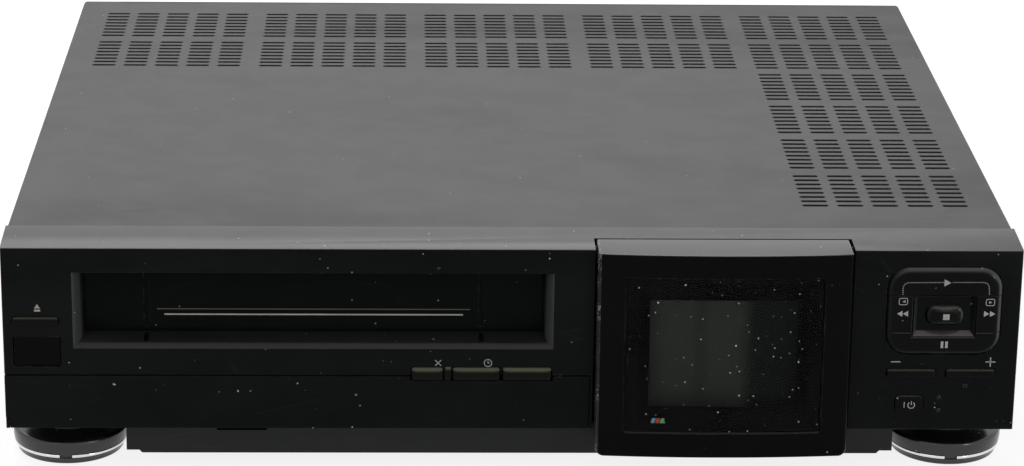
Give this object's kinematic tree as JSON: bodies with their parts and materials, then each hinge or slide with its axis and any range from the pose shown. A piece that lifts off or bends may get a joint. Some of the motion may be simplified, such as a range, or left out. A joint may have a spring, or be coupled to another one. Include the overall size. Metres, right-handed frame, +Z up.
{
  "type": "video cassette recorder",
  "caption": "Front-loading video cassette recorder with a drop-down door, rounded key pad, vented cover, round feet and a small flip-up picture screen set into its front.",
  "frame": {"origin": "on the floor, under the middle of the recorder's outer size", "axes": "+X to the right as seen from the front, +Y from the front panel to the back, +Z up"},
  "size_m": [0.4348, 0.4097, 0.105],
  "materials": {
    "cover_steel": "satin dark grey paint",
    "pan_steel": "dark grey paint",
    "moulding_black": "black moulding with a slight sheen",
    "key_plastic": "black, slightly glossy",
    "foot_plastic": "dark gloss",
    "gloss_black": "polished black",
    "display_grey": "smooth dark grey",
    "lamp_plastic": "dark red, clear",
    "white_plastic": "natural white moulding",
    "bright_trim": "mirror bright",
    "plain_steel": "plain bright steel",
    "zinc_plate": "zinc-plated sheet",
    "core_steel": "dull dark steel",
    "turned_aluminium": "fine turned",
    "roller_rubber": "ground black rubber",
    "board_laminate": "green board"
  },
  "bodies": {
    "chassis": {"bottom_pan": "pan_steel", "top_cover": "cover_steel", "front_bezel": "moulding_black", "rear_panel": "pan_steel", "foot_front_left": "foot_plastic", "foot_front_right": "foot_plastic", "foot_rear_left": "foot_plastic", "foot_rear_right": "foot_plastic", "foot_ring_left": "bright_trim", "foot_ring_right": "bright_trim", "cover_screw_left": "plain_steel", "cover_screw_right": "plain_steel", "sensor_window": "gloss_black", "timer_lamp": "lamp_plastic", "standby_lamp": "lamp_plastic", "pad_frame": "moulding_black", "tuner": "zinc_plate", "scart_socket": "key_plastic", "mains_inlet": "key_plastic", "deck_plate": "zinc_plate", "drum_base": "turned_aluminium", "audio_head": "plain_steel", "erase_head": "plain_steel", "loading_motor": "plain_steel", "basket_guide_left": "zinc_plate", "basket_guide_right": "zinc_plate", "main_board": "board_laminate", "key_board": "board_laminate", "power_transformer": "core_steel", "loudspeaker": "core_steel"},
    "flap": {"cassette_flap": "moulding_black"},
    "door": {"drop_down_door": "moulding_black"},
    "screen": {"screen_housing": "gloss_black", "screen_window": "gloss_black", "screen_cover": "moulding_black", "lcd_module": "display_grey", "screen_pin_left": "plain_steel", "screen_pin_right": "plain_steel"},
    "reset": {"reset_button": "key_plastic"},
    "timer": {"timer_button": "key_plastic"},
    "monitor_mode": {"monitor_mode_button": "key_plastic"},
    "eject": {"eject_button": "key_plastic"},
    "minus": {"minus_button": "key_plastic"},
    "plus": {"plus_button": "key_plastic"},
    "power": {"power_button": "key_plastic"},
    "play": {"play_key": "key_plastic"},
    "pause": {"pause_key": "key_plastic"},
    "rewind": {"rewind_key": "key_plastic"},
    "forward": {"forward_key": "key_plastic"},
    "stop": {"stop_button": "key_plastic"},
    "slider": {"basket_slider": "plain_steel"},
    "basket": {"cassette_basket": "zinc_plate"},
    "supply": {"supply_reel": "white_plastic"},
    "takeup": {"takeup_reel": "white_plastic"},
    "drum": {"upper_drum": "turned_aluminium"},
    "capstan": {"capstan_flywheel": "plain_steel"},
    "pinch": {"pinch_arm": "zinc_plate"},
    "roller": {"pinch_roller": "roller_rubber"},
    "post_left": {"loading_post_left": "zinc_plate"},
    "post_right": {"loading_post_right": "zinc_plate"}
  },
  "joints": [
    {"name": "flap_hinge", "type": "hinge", "parent": "chassis", "child": "flap", "pos_m": [-0.08455, -0.1833, 0.0927], "axis": [1, 0, 0], "range_deg": [0, 90], "stiffness_Nm_per_rad": 0.004},
    {"name": "door_hinge", "type": "hinge", "parent": "chassis", "child": "door", "pos_m": [-0.0905, -0.19235, 0.0248], "axis": [1, 0, 0], "range_deg": [0, 90]},
    {"name": "screen_hinge", "type": "hinge", "parent": "chassis", "child": "screen", "pos_m": [0.0894, -0.18435, 0.102], "axis": [-1, 0, 0], "range_deg": [0, 90]},
    {"name": "reset_press", "type": "slide", "parent": "chassis", "child": "reset", "axis": [0, 1, 0], "range_m": [0, 0.0008], "stiffness_N_per_m": 1500},
    {"name": "timer_press", "type": "slide", "parent": "chassis", "child": "timer", "axis": [0, 1, 0], "range_m": [0, 0.0008], "stiffness_N_per_m": 1500},
    {"name": "monitor_mode_press", "type": "slide", "parent": "chassis", "child": "monitor_mode", "axis": [0, 1, 0], "range_m": [0, 0.0008], "stiffness_N_per_m": 1500},
    {"name": "eject_press", "type": "slide", "parent": "chassis", "child": "eject", "axis": [0, 1, 0], "range_m": [0, 0.0008], "stiffness_N_per_m": 1500},
    {"name": "minus_press", "type": "slide", "parent": "chassis", "child": "minus", "axis": [0, 1, 0], "range_m": [0, 0.0008], "stiffness_N_per_m": 1500},
    {"name": "plus_press", "type": "slide", "parent": "chassis", "child": "plus", "axis": [0, 1, 0], "range_m": [0, 0.0008], "stiffness_N_per_m": 1500},
    {"name": "power_press", "type": "slide", "parent": "chassis", "child": "power", "axis": [0, 1, 0], "range_m": [0, 0.0008], "stiffness_N_per_m": 1500},
    {"name": "play_press", "type": "slide", "parent": "chassis", "child": "play", "axis": [0, 1, 0], "range_m": [0, 0.0008], "stiffness_N_per_m": 1500},
    {"name": "pause_press", "type": "slide", "parent": "chassis", "child": "pause", "axis": [0, 1, 0], "range_m": [0, 0.0008], "stiffness_N_per_m": 1500},
    {"name": "rewind_press", "type": "slide", "parent": "chassis", "child": "rewind", "axis": [0, 1, 0], "range_m": [0, 0.0008], "stiffness_N_per_m": 1500},
    {"name": "forward_press", "type": "slide", "parent": "chassis", "child": "forward", "axis": [0, 1, 0], "range_m": [0, 0.0008], "stiffness_N_per_m": 1500},
    {"name": "stop_press", "type": "slide", "parent": "chassis", "child": "stop", "axis": [0, 1, 0], "range_m": [0, 0.0008], "stiffness_N_per_m": 1500},
    {"name": "slider_in", "type": "slide", "parent": "chassis", "child": "slider", "axis": [0, 1, 0], "range_m": [0, 0.06]},
    {"name": "basket_down", "type": "slide", "parent": "slider", "child": "basket", "axis": [0, 0, -1], "range_m": [0, 0.02]},
    {"name": "supply_spin", "type": "hinge", "parent": "chassis", "child": "supply", "pos_m": [-0.12955, -0.06785, 0.0395], "axis": [0, 0, 1], "continuous": true},
    {"name": "takeup_spin", "type": "hinge", "parent": "chassis", "child": "takeup", "pos_m": [-0.03955, -0.06785, 0.0395], "axis": [0, 0, 1], "continuous": true},
    {"name": "drum_spin", "type": "hinge", "parent": "chassis", "child": "drum", "pos_m": [-0.08455, 0.02115, 0.0445], "axis": [0, -0.0872, 0.9962], "continuous": true},
    {"name": "capstan_spin", "type": "hinge", "parent": "chassis", "child": "capstan", "pos_m": [-0.01855, -0.00185, 0.038], "axis": [0, 0, 1], "continuous": true},
    {"name": "pinch_swing", "type": "hinge", "parent": "chassis", "child": "pinch", "pos_m": [0.00545, 0.00815, 0.0395], "axis": [0, 0, 1], "range_deg": [-28, 0]},
    {"name": "roller_spin", "type": "hinge", "parent": "pinch", "child": "roller", "pos_m": [-0.00139, -0.01064, 0.0515], "axis": [0, 0, 1], "continuous": true},
    {"name": "post_right_slide", "type": "slide", "parent": "chassis", "child": "post_right", "axis": [0.3162, 0.9487, 0], "range_m": [0, 0.0569]},
    {"name": "post_left_slide", "type": "slide", "parent": "chassis", "child": "post_left", "axis": [-0.3162, 0.9487, 0], "range_m": [0, 0.0569]}
  ],
  "couplings": [
    {"joint": "post_left_slide", "follows": "post_right_slide", "ratio": 1}
  ]
}
